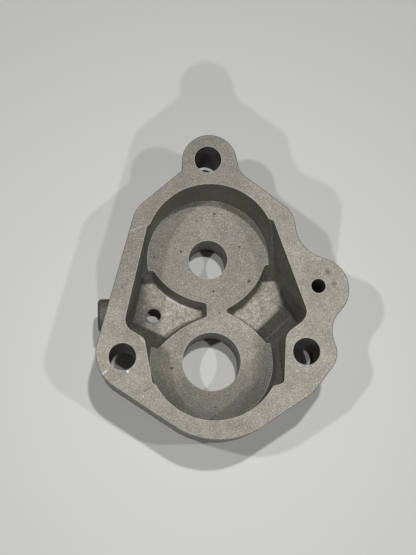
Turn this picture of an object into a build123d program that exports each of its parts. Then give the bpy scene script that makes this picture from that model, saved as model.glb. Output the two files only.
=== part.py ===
from build123d import *
import os
from math import asin, atan2, cos, hypot, pi, radians, sin, sqrt, tan

# Housing cast in one piece: a lobed, open-topped body with two overlapping
# round pockets, a side chamber on each hand of them, and two bearing hubs below.
# The origin is on the larger bore's axis, in the plane of the hubs' feet.
# +Z runs up to the open joint face, +Y from the larger bore to the smaller one.

# Driving dimensions: heights, and depths below the joint face
total_height = 38.0
body_height = 26.0
pocket_depth = 21.0
chamber_depth = 29.5

# Driving dimensions: bores and pockets
bore_spacing = 35.5
lower_bore_radius = 10.0
upper_bore_radius = 6.75
pocket_radius = 21.55
pocket_draft = 1.3

# Driving dimensions: holes
bolt_reach = 30.0
bolt_hole_radius = 4.5
dowel_x = 35.0
dowel_y = 21.6
dowel_hole_radius = 2.4
dowel_hole_depth = 20.0
drain_reach = 19.2
drain_hole_radius = 2.5

# Driving dimensions: lobes of the outer wall. Each is a round beside a hole or a bore. Its reach
# is how far the skin stands out from that centre, and its rise how far above it the round lies
top_lobe_radius = 9.2
top_lobe_reach = 8.6
top_lobe_shift = 0.5
left_lobe_radius = 12.9
left_lobe_reach = 8.7
left_lobe_rise = 1.1
right_lobe_radius = 7.9
right_lobe_reach = 10.1
right_lobe_rise = -0.4
dowel_lobe_radius = 10.5
dowel_lobe_reach = 10.2
dowel_lobe_rise = -0.9
corner_radius = 11.9
corner_reach = 5.5
corner_rise = -4.5
foot_wall_radius = 26.0
foot_wall_reach = 27.8
foot_wall_shift = 1.1
left_shoulder_radius = 10.4
left_shoulder_reach = 26.0
left_shoulder_rise = 7.6
right_shoulder_radius = 8.5
right_shoulder_reach = 28.3
right_shoulder_rise = 7.1
draft_angle = 1.0

# Driving dimensions: hollows between the lobes. A heading is measured from the +X direction
left_neck_radius = 1.3
left_neck_heading = 192.0
left_neck_run = 0.2
right_neck_radius = 5.3
right_neck_heading = -4.0
right_neck_run = 0.5
waist_radius = 9.3
hollow_radius = 11.5
hollow_run = 0.2
least_run = 0.05

# Driving dimensions: mouth of the side chambers. Each corner beside a pocket is given as
# how far it stands out past the pocket's wall, how far above the pocket's axis, and its round
upper_left_root = (-5.0, 11.8, 0.0)
upper_left_notch = (-0.6, 7.4, 1.0)
left_waist = (1.2, 5.9, 2.5)
lower_left_notch = (-1.0, -8.7, 0.8)
lower_left_root = (-5.0, -11.5, 0.0)
lower_right_root = (-5.0, -11.5, 0.0)
lower_right_notch = (0.7, -10.0, 1.5)
right_waist = (2.0, 6.1, 5.0)
upper_right_notch = (-0.4, 8.5, 0.8)
upper_right_root = (-5.0, 10.6, 0.0)
chamber_corner_radius = 4.5
left_chamber_reach = 29.5
left_chamber_drop = 7.65
right_chamber_reach = 31.5
right_chamber_drop = 6.2
chamber_wall_draft = 2.0

# Driving dimensions: curved walls of the side chambers, at the pockets' floor level. A crest is
# how far a wall's arc passes the middle between the bores. A lip is how far its outer end
# stays inside the pocket's wall, and a fall how far that end lies back from the arc's crest
left_upper_arc_radius = 24.5
left_upper_arc_fall = 13.6
left_upper_crest = -2.4
left_upper_lip = 1.7
left_lower_arc_radius = 36.7
left_lower_arc_fall = 12.7
left_lower_crest = -0.85
left_lower_lip = 2.9
left_neck = 1.0
right_upper_arc_radius = 24.2
right_upper_arc_fall = 22.3
right_upper_crest = 1.45
right_upper_lip = 0.9
right_lower_arc_radius = 34.5
right_lower_arc_fall = 15.6
right_lower_crest = 2.4
right_lower_lip = 1.8
tip_round = 1.0
chamber_edge_round = 1.4
chamber_floor_round = 1.2
land_draft = 9.0
chamber_skin = 3.5

# Driving dimensions: ramps that close the side chambers at both ends. Each rises from a foot line
# on the chamber's floor to the joint face. A foot is how far right of the bores' axes that line
# passes, and how far above the middle between them. One ramp has a narrow ledge across it
lower_left_foot = (-19.66, -5.5)
lower_left_heading = -26.4
lower_left_run = 21.5
lower_right_foot = (20.98, -3.6)
lower_right_heading = 41.8
lower_right_run = 20.8
upper_left_foot = (-22.0, 11.2)
upper_left_heading = 180.0
upper_left_run = 15.2
upper_right_foot = (22.0, 11.0)
upper_right_heading = 180.0
upper_right_run = 16.0
ledge_depth = 23.3
ledge_width = 0.8

# Driving dimensions: underside and port boss
hub_wall = 5.5
hub_draft = 2.0
web_width = 8.0
web_lift = 6.0
port_boss_radius = 5.7
port_boss_reach = 38.2
port_boss_drop = 18.5
port_boss_y = 16.4
face_edge_break = 0.3
underside_chamfer = 1.2
boss_chamfer = 0.8

# Places that follow from the driving dimensions
face_z = total_height
pocket_z = face_z - pocket_depth
chamber_z = face_z - chamber_depth
land_depth = chamber_depth - pocket_depth
disc_radius = pocket_radius - pocket_depth * tan(radians(pocket_draft))
middle_y = bore_spacing / 2
lower_bore = (0, 0)
upper_bore = (0, bore_spacing)
top_bolt = (0, bore_spacing + bolt_reach)
left_bolt = (-bolt_reach, 0)
right_bolt = (bolt_reach, 0)
dowel = (dowel_x, dowel_y)
far_side = 60.0
mouth_overlap = 5.0
cut_over = 1.0
left = -1
right = 1
above = 1
below = -1


# Round of the outer wall, as its centre and radius, whose skin stands out to one side of a hole
def lobe(centre, side, reach, rise, radius):
    return (centre[0] + side * (reach - radius), centre[1] + rise, radius)


# Hollow circle that lies against one lobe, in a given direction
def against(first, hollow, heading, run):
    reach = first[2] + hollow + run
    return (first[0] + reach * cos(radians(heading)), first[1] + reach * sin(radians(heading)), -hollow)


# Hollow circle that lies against two lobes, to the right of the way from the first to the second
def between(first, second, hollow, run):
    span = hypot(second[0] - first[0], second[1] - first[1])
    reach_first = first[2] + hollow + run
    reach_second = second[2] + hollow + run
    along = (reach_first ** 2 - reach_second ** 2 + span ** 2) / (2 * span)
    aside = sqrt(reach_first ** 2 - along ** 2)
    ux = (second[0] - first[0]) / span
    uy = (second[1] - first[1]) / span
    return (first[0] + along * ux + aside * uy, first[1] + along * uy - aside * ux, -hollow)


def opposite(circle):
    return (circle[0], circle[1], -circle[2])


# Direction of the straight line that touches two circles, each passed on its own side
def touching_heading(first, second):
    span = hypot(second[0] - first[0], second[1] - first[1])
    bearing = atan2(second[1] - first[1], second[0] - first[0])
    return bearing - asin((second[2] - first[2]) / span)


# Closed face inside a line pulled round a row of circles, anticlockwise.
# A circle with a negative radius is a hollow, which the line passes on its other side.
def wrapped_face(circles):
    headings = [touching_heading(first, second) for first, second in zip(circles, circles[1:] + circles[:1])]
    arcs = []
    for index, (x, y, radius) in enumerate(circles):
        arriving = headings[index - 1]
        turn = (headings[index] - arriving) % (2 * pi)
        if radius < 0:
            turn -= 2 * pi
        arcs.append([
            (x + radius * sin(heading), y - radius * cos(heading))
            for heading in (arriving, arriving + turn / 2, arriving + turn)
        ])
    edges = []
    for arc, next_arc in zip(arcs, arcs[1:] + arcs[:1]):
        edges.append(ThreePointArc(*arc))
        edges.append(Line(arc[-1], next_arc[0]))
    return make_face(edges)


def outer_face():
    top_lobe = (top_lobe_shift, top_bolt[1] + top_lobe_reach - top_lobe_radius, top_lobe_radius)
    foot_wall = (foot_wall_shift, foot_wall_radius - foot_wall_reach, foot_wall_radius)
    left_lobe = lobe(left_bolt, left, left_lobe_reach, left_lobe_rise, left_lobe_radius)
    right_lobe = lobe(right_bolt, right, right_lobe_reach, right_lobe_rise, right_lobe_radius)
    dowel_lobe = lobe(dowel, right, dowel_lobe_reach, dowel_lobe_rise, dowel_lobe_radius)
    corner = lobe(right_bolt, right, corner_reach, corner_rise, corner_radius)
    left_shoulder = lobe(upper_bore, left, left_shoulder_reach, left_shoulder_rise, left_shoulder_radius)
    right_shoulder = lobe(upper_bore, right, right_shoulder_reach, right_shoulder_rise, right_shoulder_radius)
    return wrapped_face([
        top_lobe,
        against(top_lobe, left_neck_radius, left_neck_heading, left_neck_run),
        left_shoulder,
        left_lobe,
        foot_wall,
        corner,
        right_lobe,
        between(right_lobe, dowel_lobe, waist_radius, least_run),
        dowel_lobe,
        between(dowel_lobe, right_shoulder, hollow_radius, hollow_run),
        right_shoulder,
        against(top_lobe, right_neck_radius, right_neck_heading, right_neck_run),
    ])


# Corner of the chambers' mouth beside a pocket, as its point and its round
def beside_pocket(axis, side, corner):
    out, rise, corner_round = corner
    return (axis[0] + side * (pocket_radius + out), axis[1] + rise), corner_round


# Mouth of a side chamber at the joint face, from notch to notch. It is closed inside the pockets
def mouth_face(corners):
    points = [point for point, corner_round in corners]
    rounds = [corner_round for point, corner_round in corners]
    return make_face(FilletPolyline(*points, radius=rounds, close=True))


def left_mouth_face():
    upper_root, upper_root_round = beside_pocket(upper_bore, left, upper_left_root)
    lower_root, lower_root_round = beside_pocket(lower_bore, left, lower_left_root)
    return mouth_face([
        ((mouth_overlap, upper_root[1]), 0.0),
        (upper_root, upper_root_round),
        beside_pocket(upper_bore, left, upper_left_notch),
        ((-left_chamber_reach, middle_y - left_chamber_drop), chamber_corner_radius),
        beside_pocket(lower_bore, left, left_waist),
        beside_pocket(lower_bore, left, lower_left_notch),
        (lower_root, lower_root_round),
        ((mouth_overlap, lower_root[1]), 0.0),
    ])


def right_mouth_face():
    upper_root, upper_root_round = beside_pocket(upper_bore, right, upper_right_root)
    lower_root, lower_root_round = beside_pocket(lower_bore, right, lower_right_root)
    return mouth_face([
        ((-mouth_overlap, lower_root[1]), 0.0),
        (lower_root, lower_root_round),
        beside_pocket(lower_bore, right, lower_right_notch),
        beside_pocket(lower_bore, right, right_waist),
        ((right_chamber_reach, middle_y - right_chamber_drop), chamber_corner_radius),
        beside_pocket(upper_bore, right, upper_right_notch),
        (upper_root, upper_root_round),
        ((-mouth_overlap, upper_root[1]), 0.0),
    ])


# Corner round of a chamber that lies against the outside of an arc, at a given x, above or below it
def resting(arc, x, radius, side):
    reach = arc[2] + radius + least_run
    return (x, arc[1] + side * sqrt(reach ** 2 - (x - arc[0]) ** 2), radius)


# Centre of a land's arc to the right of the bores' axes, for its end to lie where it should
def arc_shift(end_x, side, radius, fall):
    return end_x - side * sqrt(radius ** 2 - (radius - fall) ** 2)


# Round of the land beside the upper or the lower bore, which walls a side chamber
def upper_land_arc(end_x, side, radius, fall, crest, inset):
    return (arc_shift(end_x, side, radius, fall), middle_y - crest + radius, radius + inset)


def lower_land_arc(end_x, side, radius, fall, crest, inset):
    return (arc_shift(end_x, side, radius, fall), middle_y + crest - radius, radius + inset)


# Section of a side chamber between the two lands, which close in on it by the inset further down
def left_chamber_face(inset):
    upper_x = left_upper_lip - pocket_radius
    lower_x = left_lower_lip - pocket_radius
    upper_arc = upper_land_arc(
        upper_x, left, left_upper_arc_radius, left_upper_arc_fall, left_upper_crest, inset)
    lower_arc = lower_land_arc(
        lower_x, left, left_lower_arc_radius, left_lower_arc_fall, left_lower_crest, inset)
    upper_end = resting(upper_arc, upper_x, chamber_edge_round, below)
    lower_end = resting(lower_arc, lower_x, chamber_edge_round, above)
    tip_x = -left_neck - tip_round - inset
    return wrapped_face([
        (-far_side, upper_end[1], chamber_edge_round),
        (-far_side, lower_end[1], chamber_edge_round),
        lower_end,
        opposite(lower_arc),
        resting(lower_arc, tip_x, tip_round, above),
        resting(upper_arc, tip_x, tip_round, below),
        opposite(upper_arc),
        upper_end,
    ])


def right_chamber_face(inset):
    upper_x = pocket_radius - right_upper_lip
    lower_x = pocket_radius - right_lower_lip
    upper_arc = upper_land_arc(
        upper_x, right, right_upper_arc_radius, right_upper_arc_fall, right_upper_crest, inset)
    lower_arc = lower_land_arc(
        lower_x, right, right_lower_arc_radius, right_lower_arc_fall, right_lower_crest, inset)
    upper_end = resting(upper_arc, upper_x, chamber_edge_round, below)
    lower_end = resting(lower_arc, lower_x, chamber_edge_round, above)
    tip = between(lower_arc, upper_arc, tip_round, least_run)
    return wrapped_face([
        (far_side, lower_end[1], chamber_edge_round),
        (far_side, upper_end[1], chamber_edge_round),
        upper_end,
        opposite(upper_arc),
        opposite(tip),
        opposite(lower_arc),
        lower_end,
    ])


def lowered(face, top_z, depth, taper=0.0):
    return extrude(Pos(0, 0, top_z) * face, amount=depth, dir=(0, 0, -1), taper=taper)


# Drafted round, given by its radii at the top and at the bottom
def drafted_round(centre, top_z, depth, top_radius, bottom_radius):
    return Pos(centre[0], centre[1], top_z - depth / 2) * Cone(bottom_radius, top_radius, depth)


def pocket(centre):
    return drafted_round(centre, face_z, pocket_depth, pocket_radius, disc_radius)


# Metal under the pockets' floors, which stands between the side chambers
def lands():
    foot_radius = disc_radius + land_depth * tan(radians(land_draft))
    lower_land = drafted_round(lower_bore, pocket_z, land_depth, disc_radius, foot_radius)
    upper_land = drafted_round(upper_bore, pocket_z, land_depth, disc_radius, foot_radius)
    return lower_land + upper_land


# Drafted space between the lands, from the pockets' floor level down to the chamber's floor
def between_lands(chamber_face):
    upper_section = Pos(0, 0, pocket_z) * chamber_face(0)
    lower_section = Pos(0, 0, chamber_z) * chamber_face(land_depth * tan(radians(land_draft)))
    return loft([upper_section, lower_section], ruled=True)


# Everything below a plane that rises over the run from the chamber's floor to the joint face
def ramp(foot, heading, run):
    along = Vector(cos(radians(heading)), sin(radians(heading)), 0)
    uphill = Vector(along.Y, -along.X, 0) * run + Vector(0, 0, chamber_depth)
    slope = Plane(origin=(foot[0], middle_y + foot[1], chamber_z), x_dir=along, z_dir=uphill.cross(along))
    return slope * Pos(0, 0, -far_side / 2) * Box(2 * far_side, 2 * far_side, far_side)


# Ramp with a level ledge across it, below which it stands out into the chamber
def ledged(slope, heading):
    moved = Pos(-ledge_width * sin(radians(heading)), ledge_width * cos(radians(heading)), 0) * slope
    lower_part = Pos(0, 0, face_z - ledge_depth - far_side / 2) * Box(4 * far_side, 4 * far_side, far_side)
    return slope + (moved & lower_part)


# Side chamber: its mouth drawn straight down between the ramps, and deeper between the lands
def chamber_space(mouth, chamber_face, upper_ramp, lower_ramp):
    space = lowered(mouth, face_z, chamber_depth, chamber_wall_draft)
    space = space - (lands() - between_lands(chamber_face)) - upper_ramp - lower_ramp
    floor_edges = space.faces().sort_by(Axis.Z)[0].edges()
    return fillet(floor_edges, chamber_floor_round)


# Everything that is open above
def cavity():
    upper_left = ramp(upper_left_foot, upper_left_heading, upper_left_run)
    lower_left = ramp(lower_left_foot, lower_left_heading, lower_left_run)
    upper_right = ramp(upper_right_foot, upper_right_heading, upper_right_run)
    lower_right = ramp(lower_right_foot, lower_right_heading, lower_right_run)
    lower_right = ledged(lower_right, lower_right_heading)
    left_chamber = chamber_space(left_mouth_face(), left_chamber_face, upper_left, lower_left)
    right_chamber = chamber_space(right_mouth_face(), right_chamber_face, upper_right, lower_right)
    return pocket(lower_bore) + pocket(upper_bore) + left_chamber + right_chamber


# Drafted hub round a bore, from its foot up into the floor of the pocket
def hub(centre, bore_radius):
    height = pocket_z - cut_over
    foot_radius = bore_radius + hub_wall
    root_radius = foot_radius + height * tan(radians(hub_draft))
    return Pos(centre[0], centre[1], height / 2) * Cone(foot_radius, root_radius, height)


def web():
    height = pocket_z - cut_over - web_lift
    return Pos(0, middle_y, web_lift + height / 2) * Box(web_width, bore_spacing, height)


# Skin under a side chamber, which hangs below the body
def chamber_belly(chamber_face, mouth):
    footprint = offset(chamber_face(0) & mouth, amount=chamber_skin)
    belly = lowered(footprint, pocket_z - cut_over, pocket_z - cut_over - chamber_z + chamber_skin)
    return chamfer(belly.edges().group_by(Axis.Z)[0], underside_chamfer)


def port_boss():
    length = port_boss_reach - left_chamber_reach
    boss = Cylinder(port_boss_radius, length)
    boss = chamfer(boss.faces().sort_by(Axis.Z)[-1].edges(), boss_chamfer)
    middle_x = -left_chamber_reach - length / 2
    return Pos(middle_x, port_boss_y, face_z - port_boss_drop) * Rot(0, -90, 0) * boss


def body():
    shell = lowered(outer_face(), face_z, body_height, draft_angle)
    shell = chamfer(shell.edges().group_by(Axis.Z)[0], underside_chamfer)
    shell = chamfer(shell.edges().group_by(Axis.Z)[-1], face_edge_break)
    bellies = chamber_belly(left_chamber_face, left_mouth_face())
    bellies = bellies + chamber_belly(right_chamber_face, right_mouth_face())
    hubs = hub(lower_bore, lower_bore_radius) + hub(upper_bore, upper_bore_radius) + web()
    return shell + bellies + hubs + port_boss()


def drilled(centre, radius, top_z, bottom_z):
    depth = top_z - bottom_z
    return Pos(centre[0], centre[1], top_z - depth / 2) * Cylinder(radius, depth)


def holes():
    over_face = face_z + cut_over
    under_feet = -cut_over
    cuts = [
        drilled(lower_bore, lower_bore_radius, over_face, under_feet),
        drilled(upper_bore, upper_bore_radius, over_face, under_feet),
        drilled((-drain_reach, middle_y), drain_hole_radius, pocket_z, under_feet),
        drilled(dowel, dowel_hole_radius, over_face, face_z - dowel_hole_depth),
    ]
    for bolt in (top_bolt, left_bolt, right_bolt):
        cuts.append(drilled(bolt, bolt_hole_radius, over_face, under_feet))
    return cuts


def housing():
    casting = body() - cavity()
    for cut in holes():
        casting = casting - cut
    return casting


os.makedirs("parts", exist_ok=True)
shape = housing()
shape.label = "housing"
export_step(shape, "parts/housing.step")
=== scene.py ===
import math

import bpy
from mathutils import Euler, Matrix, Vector

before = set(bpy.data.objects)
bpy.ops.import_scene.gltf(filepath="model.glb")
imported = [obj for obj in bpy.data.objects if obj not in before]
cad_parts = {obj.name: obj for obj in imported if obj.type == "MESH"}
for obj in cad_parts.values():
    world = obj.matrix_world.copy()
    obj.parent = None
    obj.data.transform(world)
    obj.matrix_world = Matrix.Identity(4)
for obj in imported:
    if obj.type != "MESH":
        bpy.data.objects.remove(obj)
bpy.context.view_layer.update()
print("frame loaded")

# everything below is in metres in the casting's own frame, apart from the
# shader nodes, which count in millimetres


class Wire:
    # one output socket, on which Python's operators add Math nodes

    def __init__(self, shader, socket):
        self.shader = shader
        self.socket = socket

    def __add__(self, other):
        return self.shader.maths("ADD", self, other)

    def __radd__(self, other):
        return self.shader.maths("ADD", other, self)

    def __sub__(self, other):
        return self.shader.maths("SUBTRACT", self, other)

    def __rsub__(self, other):
        return self.shader.maths("SUBTRACT", other, self)

    def __mul__(self, other):
        return self.shader.maths("MULTIPLY", self, other)

    def __rmul__(self, other):
        return self.shader.maths("MULTIPLY", other, self)

    def __truediv__(self, other):
        return self.shader.maths("DIVIDE", self, other)

    def __neg__(self):
        return self.shader.maths("MULTIPLY", self, -1)


class Shader:
    # a material under construction

    def __init__(self, name):
        self.material = bpy.data.materials.new(name)
        self.material.use_nodes = True
        self.tree = self.material.node_tree
        self.tree.nodes.clear()

    # a node of any type: its settings first, then what its sockets hold or are linked to
    def node(self, kind, settings=None, sockets=None, output=0):
        made = self.tree.nodes.new(kind)
        for name, value in (settings or {}).items():
            setattr(made, name, value)
        for name, value in (sockets or {}).items():
            if isinstance(value, Wire):
                self.tree.links.new(value.socket, made.inputs[name])
            else:
                made.inputs[name].default_value = value
        return Wire(self, made.outputs[output]) if made.outputs else None

    def maths(self, operation, first, second=0.0):
        return self.node("ShaderNodeMath", {"operation": operation}, {0: first, 1: second})

    def smallest(self, *wires):
        result = wires[0]
        for wire in wires[1:]:
            result = self.maths("MINIMUM", result, wire)
        return result

    def largest(self, *wires):
        result = wires[0]
        for wire in wires[1:]:
            result = self.maths("MAXIMUM", result, wire)
        return result

    # 0 below the low value and 1 above the high one, with a soft step between them
    def step(self, value, low, high):
        return self.node(
            "ShaderNodeMapRange",
            {"interpolation_type": "SMOOTHSTEP"},
            {"Value": value, "From Min": low, "From Max": high},
        )

    # 1 inside the low value and 0 outside the high one
    def inside(self, value, low, high):
        return 1 - self.step(value, low, high)

    # 1 between the two values, with soft steps at both
    def between(self, value, low, high, soft):
        above = self.step(value, low - soft, low + soft)
        return above * self.inside(value, high - soft, high + soft)

    # a value that goes from the first to the second as the share goes from 0 to 1
    def blend(self, share, first, second):
        return first + (second - first) * share

    def mixColour(self, share, first, second, kind="MIX"):
        settings = {"data_type": "RGBA", "blend_type": kind}
        return self.node("ShaderNodeMix", settings, {0: share, 6: first, 7: second}, output=2)

    def vectorMaths(self, operation, first, second=None, output=0, scale=None):
        sockets = {0: first}
        if second is not None:
            sockets[1] = second
        if scale is not None:
            sockets["Scale"] = scale
        return self.node("ShaderNodeVectorMath", {"operation": operation}, sockets, output)

    # places on the object in millimetres
    def places(self):
        corners = self.node("ShaderNodeTexCoord", output="Object")
        return self.vectorMaths("SCALE", corners, scale=1000.0)

    def split(self, vector):
        made = self.node("ShaderNodeSeparateXYZ", sockets={0: vector})
        outputs = made.socket.node.outputs
        return [Wire(self, outputs[index]) for index in range(3)]

    # soft noise about 0.5, with grains of the given size in millimetres
    def noise(self, places, size, detail, roughness=0.5):
        sockets = {"Vector": places, "Scale": 1 / size, "Detail": detail, "Roughness": roughness}
        return self.node("ShaderNodeTexNoise", sockets=sockets)

    # distance from a line between two points that are given in plan
    def fromLine(self, x, y, start, end):
        dx = end[0] - start[0]
        dy = end[1] - start[1]
        share = ((x - start[0]) * dx + (y - start[1]) * dy) / (dx * dx + dy * dy)
        share = self.smallest(self.largest(share, 0.0), 1.0)
        aside = x - start[0] - share * dx
        along = y - start[1] - share * dy
        return self.maths("SQRT", aside * aside + along * along)

    def fromPoint(self, x, y, point):
        aside = x - point[0]
        along = y - point[1]
        return self.maths("SQRT", aside * aside + along * along)

    def finish(self, surface):
        self.node("ShaderNodeOutputMaterial", sockets={"Surface": surface})
        return self.material


camera = {
    "place": (-0.0233, -0.0487, 0.4364),
    "turn": (10.617, -2.779, -2.0),  # degrees about X, Y and Z
    "lens": 53.4,
    "sensor": 24.0,
}


def addCamera():
    lens = bpy.data.cameras.new("camera")
    lens.sensor_fit = "VERTICAL"
    lens.sensor_height = camera["sensor"]
    lens.lens = camera["lens"]
    holder = bpy.data.objects.new("camera", lens)
    holder.location = camera["place"]
    holder.rotation_euler = Euler([math.radians(angle) for angle in camera["turn"]], "XYZ")
    bpy.context.scene.collection.objects.link(holder)
    bpy.context.scene.camera = holder


studio = {
    "aim": (0.0, 0.0, 0.02),
    "lampSize": 0.022,
    "lampSpread": 90,  # degrees across the pool of light
    # where each lamp stands, and its strength in watts
    "lamps": {
        "front": ((-0.029, -0.464, 0.545), 0.274),
        "right": ((0.267, -0.042, 0.627), 0.185),
        "left": ((-0.254, 0.041, 0.636), 0.247),
        "back": ((0.050, 0.144, 0.800), 0.647),
    },
    "roomColour": (0.95, 0.97, 1.0, 1.0),
    "roomStrength": 0.01,
}


def addLamps():
    for name, (place, power) in studio["lamps"].items():
        lamp = bpy.data.lights.new(name + "Lamp", "AREA")
        lamp.shape = "DISK"
        lamp.size = studio["lampSize"]
        lamp.energy = power
        lamp.spread = math.radians(studio["lampSpread"])
        holder = bpy.data.objects.new(lamp.name, lamp)
        holder.location = place
        away = Vector(place) - Vector(studio["aim"])
        holder.rotation_euler = away.to_track_quat("Z", "Y").to_euler()
        holder.visible_camera = False
        bpy.context.scene.collection.objects.link(holder)


def addRoom():
    world = bpy.data.worlds.new("room")
    world.use_nodes = True
    room = world.node_tree.nodes["Background"]
    room.inputs["Color"].default_value = studio["roomColour"]
    room.inputs["Strength"].default_value = studio["roomStrength"]
    bpy.context.scene.world = world
    bpy.context.scene.view_settings.view_transform = "Standard"


table = {
    "half": 1.2,
    "colour": (0.63, 0.63, 0.60, 1.0),
    "roughness": 0.8,
}


def addTable():
    half = table["half"]
    mesh = bpy.data.meshes.new("table")
    corners = [(-half, -half, 0), (half, -half, 0), (half, half, 0), (-half, half, 0)]
    mesh.from_pydata(corners, [], [(0, 1, 2, 3)])
    top = bpy.data.objects.new("table", mesh)
    bpy.context.scene.collection.objects.link(top)
    shader = Shader("paleTable")
    sockets = {"Base Color": table["colour"], "Roughness": table["roughness"]}
    mesh.materials.append(shader.finish(shader.node("ShaderNodeBsdfPrincipled", sockets=sockets)))


skin = {
    "colour": (0.294, 0.279, 0.243, 1.0),
    "darkColour": (0.126, 0.120, 0.107, 1.0),
    "lightColour": (0.610, 0.582, 0.512, 1.0),
    "brightMetal": (0.80, 0.79, 0.76, 1.0),
    "dirt": (0.035, 0.033, 0.030, 1.0),
    "warm": (1.0, 0.98, 0.945, 1.0),
    "cool": (0.975, 0.985, 0.99, 1.0),
    "tintSize": 8.0,
    "tintEdge": (0.35, 0.65),
    "metallic": 0.22,
    "roughness": 0.68,
    "roughnessSpread": 0.12,
    "boreRoughness": 0.5,
    "flatFacing": (0.55, 0.9),  # how far up a surface looks when it starts to count as flat
}

# layers of the blasted grain: size in millimetres, detail, roughness and weight
grainLayers = {
    "grain": (0.26, 2.0, 0.65, 1.8),
    "speckle": (0.55, 3.0, 0.7, 0.9),
    "mottle": (2.6, 2.0, 0.5, 0.4),
    "patch": (13.0, 1.0, 0.5, 0.35),
}
chamberMottle = (1.1, 3.0, 0.6, 0.9)

grainRelief = {"grain": 0.6, "speckle": 0.4, "strength": 0.6, "depth": 0.00005}

# single light and dark specks
specks = {
    "size": 0.42,
    "shift": (31.0, 17.0, 23.0),
    "light": (0.70, 0.80),
    "dark": (0.20, 0.30),
    "weight": 0.5,
}


# blasted grain about 0.5, and the relief that goes with it
def castGrain(shader, places):
    layers = {}
    shade = 0.5
    for name, (size, detail, roughness, weight) in grainLayers.items():
        layers[name] = shader.noise(places, size, detail, roughness)
        shade = shade + (layers[name] - 0.5) * weight
    elsewhere = shader.vectorMaths("ADD", places, specks["shift"])
    speck = shader.noise(elsewhere, specks["size"], 0.0)
    shade = shade + shader.step(speck, *specks["light"]) * specks["weight"]
    shade = shade - shader.inside(speck, *specks["dark"]) * specks["weight"]
    relief = layers["grain"] * grainRelief["grain"] + layers["speckle"] * grainRelief["speckle"]
    return shade, relief


# holes and the boss, in millimetres: each hole's place in plan and its radius
boreAxes = [((0.0, 0.0), 10.0), ((0.0, 35.5), 6.75)]
boltAxes = [((-30.0, 0.0), 4.5), ((30.0, 0.0), 4.5), ((0.0, 65.5), 4.5), ((35.0, 21.6), 2.4)]
holeEdge = 0.15
boss = {"axis": (16.4, 19.5), "radius": 5.8, "root": 33.4, "rootEdge": 0.5, "rim": 0.3}
middle = (0.0, 17.75)  # between the bores


# 1 on the walls of holes that were drilled or bored
def inHoles(shader, x, y):
    near = []
    for axis, radius in boreAxes + boltAxes:
        fromAxis = shader.fromPoint(x, y, axis)
        near.append(shader.inside(fromAxis, radius + holeEdge, radius + 2 * holeEdge))
    return shader.largest(*near)


# 1 on the round boss at the left
def onBoss(shader, x, y, z):
    fromAxis = shader.fromPoint(y, z, boss["axis"])
    past = shader.step(-x, boss["root"], boss["root"] + boss["rootEdge"])
    return past * shader.inside(fromAxis, boss["radius"], boss["radius"] + boss["rim"])


# how light each surface is beside the plain skin: partly the surfaces' own tone, partly painted
# light and shade set by place, level and facing
paintedLightTones = {
    "face": 0.73,
    "faceLow": 0.88,
    "faceRight": 0.98,
    "faceLeft": 1.03,
    "disc": 0.77,
    "discMid": 0.95,
    # painted shadow on the low part of the lower disc
    "discLowShade": 0.60,
    # painted shade in the outer corners of the round pockets
    "pocketCornerShade": 0.68,
    "chamberLeft": 1.04,
    "chamberRight": 1.08,
    # painted shade on the chamber floors near the walls
    "chamberEdgeShade": 0.46,
    # painted shade at the foot of the chamber walls
    "chamberFootShade": 0.50,
    "ledge": 0.25,
    # the walls are painted darker than the flats, as shade falls on them
    "innerWall": 0.54,
    "innerWallRight": 0.62,
    "innerWallLeft": 0.70,
    "ramp": 0.40,
    "outerWall": 0.48,
    "boss": 0.26,
    "bossTop": 0.46,
    "bore": 0.40,
}

# heights in millimetres; a pair is where a soft step starts and ends
levels = {
    "face": (37.0, 37.5),
    "aboveDiscs": (30.0, 32.0),
    "disc": 17.0,
    "ledge": 14.7,
    "chamber": (12.5, 13.0),
}

# where the painted light and shade on the flat surfaces changes, in millimetres; a third number
# is the softness
flatZones = {
    "faceLow": (4.0, 24.0),
    "faceRight": (4.0, 24.0),
    "leftLobe": (-32.0, -27.0),
    "leftLobeEnds": (-3.0, 17.0, 3.0),
    "discLowShade": (-14.0, 4.0),
    "bridge": (12.0, 20.0),
    "fromBore": (13.5, 19.0),
    "lowCorners": (4.0, 10.0),
    "upperLeft": (-9.0, -5.0),
    "upperLeftShare": 0.5,
    "ledge": (levels["ledge"] - 1, levels["ledge"] + 1, 0.2),
    "leftEdge": (19.5, 24.0),
    "rightEdge": (21.5, 27.0),
    "chamberSides": (-5.0, 5.0),
}


# painted light on the joint face: lighter low down, to the right and on the left lobe
def paintedFaceLight(shader, x, y):
    low = shader.inside(y, *flatZones["faceLow"])
    tone = shader.blend(low, paintedLightTones["face"], paintedLightTones["faceLow"])
    right = shader.step(x, *flatZones["faceRight"])
    tone = shader.blend(right, tone, paintedLightTones["faceRight"])
    leftLobe = shader.inside(x, *flatZones["leftLobe"])
    leftLobe = leftLobe * shader.between(y, *flatZones["leftLobeEnds"])
    return shader.blend(leftLobe, tone, paintedLightTones["faceLeft"])


# floors of the round pockets with painted light and shade: the lower disc lighter in the middle
# and painted shadow low down, and painted shade at their outer corners
def paintedDiscShade(shader, x, y):
    tone = shader.blend(shader.step(y, *flatZones["discLowShade"]), paintedLightTones["discLowShade"], paintedLightTones["discMid"])
    tone = shader.blend(shader.step(y, *flatZones["bridge"]), tone, paintedLightTones["disc"])
    fromLower, fromUpper = [
        shader.step(shader.fromPoint(x, y, axis), *flatZones["fromBore"])
        for axis, radius in boreAxes
    ]
    lowCorners = fromLower * shader.inside(y, *flatZones["lowCorners"])
    upperLeft = fromUpper * shader.inside(x, *flatZones["upperLeft"])
    corners = shader.largest(lowCorners, upperLeft * flatZones["upperLeftShare"])
    return tone * shader.blend(corners, 1.0, paintedLightTones["pocketCornerShade"])


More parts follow.
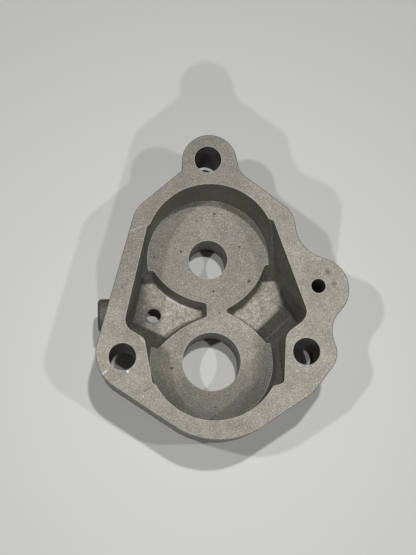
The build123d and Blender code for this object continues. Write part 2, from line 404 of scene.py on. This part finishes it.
# floors of the side chambers with painted shade towards the outside, near the walls, and the
# right one painted lighter
def paintedChamberShade(shader, x):
    left = shader.step(-x, *flatZones["leftEdge"])
    right = shader.step(x, *flatZones["rightEdge"])
    side = shader.step(x, *flatZones["chamberSides"])
    tone = shader.blend(side, paintedLightTones["chamberLeft"], paintedLightTones["chamberRight"])
    return shader.blend(shader.largest(left, right), tone, paintedLightTones["chamberEdgeShade"])


# painted light and shade on the upward surfaces, by their level and place; the boss's top is
# painted lighter than its sides
def paintedFlatLight(shader, x, y, z):
    belowFace = shader.inside(z, *levels["aboveDiscs"])
    tone = shader.blend(belowFace, paintedFaceLight(shader, x, y), paintedDiscShade(shader, x, y))
    tone = shader.blend(shader.between(z, *flatZones["ledge"]), tone, paintedLightTones["ledge"])
    inChamber = shader.inside(z, *levels["chamber"])
    tone = shader.blend(inChamber, tone, paintedChamberShade(shader, x))
    return shader.blend(onBoss(shader, x, y, z), tone, paintedLightTones["bossTop"])


# where the painted shade on the walls changes, in millimetres, and how far up a ramp looks
wallZones = {
    "right": (14.0, 24.0),
    "left": (-16.0, -8.0),
    "upper": (38.0, 46.0),
    "rampFacing": (0.35, 0.70, 0.08),
    "outward": (-2.0, 2.0),
}


# painted shade on the walls: darker on the outside than in the pockets, and set by place and
# facing
def paintedWallShade(shader, x, y, z, facing):
    right = shader.step(x, *wallZones["right"])
    inner = shader.blend(right, paintedLightTones["innerWall"], paintedLightTones["innerWallRight"])
    upperLeft = shader.inside(x, *wallZones["left"]) * shader.step(y, *wallZones["upper"])
    inner = shader.blend(upperLeft, inner, paintedLightTones["innerWallLeft"])
    ramp = shader.between(facing[2], *wallZones["rampFacing"])
    inner = shader.blend(ramp, inner, paintedLightTones["ramp"])
    away = facing[0] * (x - middle[0]) + facing[1] * (y - middle[1])
    tone = shader.blend(shader.step(away, *wallZones["outward"]), inner, paintedLightTones["outerWall"])
    tone = shader.blend(onBoss(shader, x, y, z), tone, paintedLightTones["boss"])
    return shader.blend(inHoles(shader, x, y), tone, paintedLightTones["bore"])


# marks on the flat surfaces, in millimetres
marks = {
    # start, end, width and strength
    "scratches": [
        ((-26.6, 41.6), (-22.5, 43.2), 0.10, 0.5),
        ((-36.9, -5.7), (-34.8, -4.1), 0.17, 1.0),
        ((-24.1, 6.0), (-22.7, 4.4), 0.12, 0.6),
    ],
    # start, end and width
    "lines": [((-23.1, -11.3), (-20.5, -9.8), 0.14)],
    # place and size
    "spots": [
        ((-28.4, -4.9), 0.48),
        ((-28.9, -10.8), 0.19),
        ((-23.5, -13.0), 0.19),
        ((-25.8, -6.4), 0.17),
    ],
    "smudges": [
        ((38.4, 26.2), 1.5),
        ((40.2, 22.1), 1.3),
        ((-29.6, 22.9), 0.6),
        ((-28.7, 21.3), 0.5),
    ],
    # small casting pits in the pockets' floors
    "pits": [
        ((2.8, 51.8), 0.36),
        ((-3.5, 49.4), 0.30),
        ((-9.3, 38.7), 0.34),
        ((13.9, 27.6), 0.42),
        ((1.5, 24.3), 0.30),
        ((-18.6, 36.9), 0.26),
        ((3.3, 16.7), 0.26),
        ((-13.7, -1.9), 0.36),
        ((0.8, -15.5), 0.24),
        ((11.1, 39.8), 0.28),
    ],
}

# how each kind of mark looks: where it starts to fade and where it is gone, as shares of
# its size, and how strong it is
markLooks = {
    "scratches": (1.0, 1.8, 1.0),
    "lines": (1.0, 2.5, 0.5),
    "spots": (0.6, 1.0, 1.0),
    "smudges": (0.2, 1.0, 0.6),
    "pits": (0.8, 1.7, 1.0),
}
ragged = {"least": 0.35, "grain": (0.40, 0.60)}  # breaks the scratches up
markShare = 0.85
markRelief = {"dark": 1.5, "bright": 0.6}
discBand = (levels["disc"] - 0.5, levels["disc"] + 0.5, 0.1)


def oneMark(shader, kind, distance, size):
    fades, gone, strength = markLooks[kind]
    return shader.inside(distance, size * fades, size * gone) * strength


def pointMarks(shader, x, y, kind):
    return [
        oneMark(shader, kind, shader.fromPoint(x, y, place), size) for place, size in marks[kind]
    ]


# bright scratches and spots, and dark lines, smudges and pits, as two shares
def castMarks(shader, x, y, z, flat, grain):
    onFace = flat * shader.step(z, *levels["face"])
    onDisc = flat * shader.between(z, *discBand)
    broken = ragged["least"] + shader.step(grain, *ragged["grain"]) * (1 - ragged["least"])
    bright = pointMarks(shader, x, y, "spots")
    for start, end, width, strength in marks["scratches"]:
        line = oneMark(shader, "scratches", shader.fromLine(x, y, start, end), width)
        bright.append(line * strength * broken)
    dark = pointMarks(shader, x, y, "smudges")
    for start, end, width in marks["lines"]:
        dark.append(oneMark(shader, "lines", shader.fromLine(x, y, start, end), width))
    pits = pointMarks(shader, x, y, "pits")
    darkened = shader.largest(shader.largest(*dark) * onFace, shader.largest(*pits) * onDisc)
    return shader.largest(*bright) * onFace, darkened


# painted highlight: a light streak along the foot of a curved wall, an arc in plan
paintedStreak = {
    "centre": (2.1, 44.65),
    "band": (25.95, 26.45, 0.35),
    "reach": (-17.0, -5.0, 2.0),
    "weight": 0.7,
}


# what the floors of the side chambers have besides the grain: a random mottle and a painted
# highlight streak
def chamberMottleAndHighlight(shader, x, y, places):
    size, detail, roughness, weight = chamberMottle
    mottle = (shader.noise(places, size, detail, roughness) - 0.5) * weight
    # painted highlight along the wall's foot
    light = shader.between(shader.fromPoint(x, y, paintedStreak["centre"]), *paintedStreak["band"])
    light = light * shader.between(x, *paintedStreak["reach"])
    return mottle, light * paintedStreak["weight"]


# painted highlight on rims and painted shade at the feet of walls, drawn where a rounded normal
# leaves the true one; widths in metres
roundings = {
    "rim": {"width": 0.0005, "bend": (0.01, 0.25), "share": 0.7},
    "foot": {"width": 0.0026, "bend": (0.005, 0.20)},
    "rimFrom": (levels["ledge"] + 1, levels["disc"] - 0.5),
    "samples": 4,
}


# 1 where a corner is near
def nearCorner(shader, straight, rounding):
    rounded = shader.node(
        "ShaderNodeBevel", {"samples": roundings["samples"]}, {"Radius": rounding["width"]}
    )
    bend = 1 - shader.vectorMaths("DOT_PRODUCT", rounded, straight, output=1)
    return shader.step(bend, *rounding["bend"])


def castSkin():
    shader = Shader("blastedCasting")
    places = shader.places()
    x, y, z = shader.split(places)
    straight = shader.node("ShaderNodeNewGeometry", output="True Normal")
    facing = shader.split(straight)
    flat = shader.step(facing[2], *skin["flatFacing"])
    inChamber = shader.inside(z, *levels["chamber"])

    shade, relief = castGrain(shader, places)
    mottle, light = chamberMottleAndHighlight(shader, x, y, places)
    shade = shade + inChamber * mottle
    # painted highlight streak on the chamber floors
    shade = shade + inChamber * light
    lower = shader.step(shade, 0.0, 0.5)
    upper = shader.step(shade, 0.5, 1.0)
    colour = shader.mixColour(lower, skin["darkColour"], skin["colour"])
    colour = shader.mixColour(upper, colour, skin["lightColour"])

    # painted light and shade, by surface, level and place
    walls = paintedWallShade(shader, x, y, z, facing)
    tone = shader.blend(flat, walls, paintedFlatLight(shader, x, y, z))
    # painted shade where the chamber floors meet their walls
    foot = nearCorner(shader, straight, roundings["foot"])
    tone = tone * shader.blend(foot * inChamber * flat, 1.0, paintedLightTones["chamberFootShade"])
    colour = shader.vectorMaths("SCALE", colour, scale=tone)
    tinted = shader.step(shader.noise(places, skin["tintSize"], 2.0), *skin["tintEdge"])
    tint = shader.mixColour(tinted, skin["cool"], skin["warm"])
    colour = shader.mixColour(1.0, colour, tint, "MULTIPLY")

    # painted highlight along the rounded edges of the face and the discs
    rim = nearCorner(shader, straight, roundings["rim"])
    rim = rim * flat * shader.step(z, *roundings["rimFrom"])
    colour = shader.mixColour(rim * roundings["rim"]["share"], colour, skin["lightColour"])

    bright, dark = castMarks(shader, x, y, z, flat, relief)
    colour = shader.mixColour(dark * markShare, colour, skin["dirt"])
    colour = shader.mixColour(bright * markShare, colour, skin["brightMetal"])

    bored = (1 - flat) * inHoles(shader, x, y)
    blasted = skin["roughness"] + (shade - 0.5) * skin["roughnessSpread"]
    roughness = shader.blend(bored, blasted, skin["boreRoughness"])
    height = relief - dark * markRelief["dark"] - bright * markRelief["bright"]
    sockets = {
        "Strength": grainRelief["strength"],
        "Distance": grainRelief["depth"],
        "Height": height,
    }
    bump = shader.node("ShaderNodeBump", sockets=sockets)
    sockets = {
        "Base Color": colour,
        "Metallic": skin["metallic"],
        "Roughness": roughness,
        "Normal": bump,
    }
    return shader.finish(shader.node("ShaderNodeBsdfPrincipled", sockets=sockets))


def dressCasting():
    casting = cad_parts["housing"]
    casting.data.materials.clear()
    casting.data.materials.append(castSkin())
    for face in casting.data.polygons:
        face.material_index = 0


addCamera()
addLamps()
addRoom()
addTable()
print("studio built")
dressCasting()
print("casting finished")
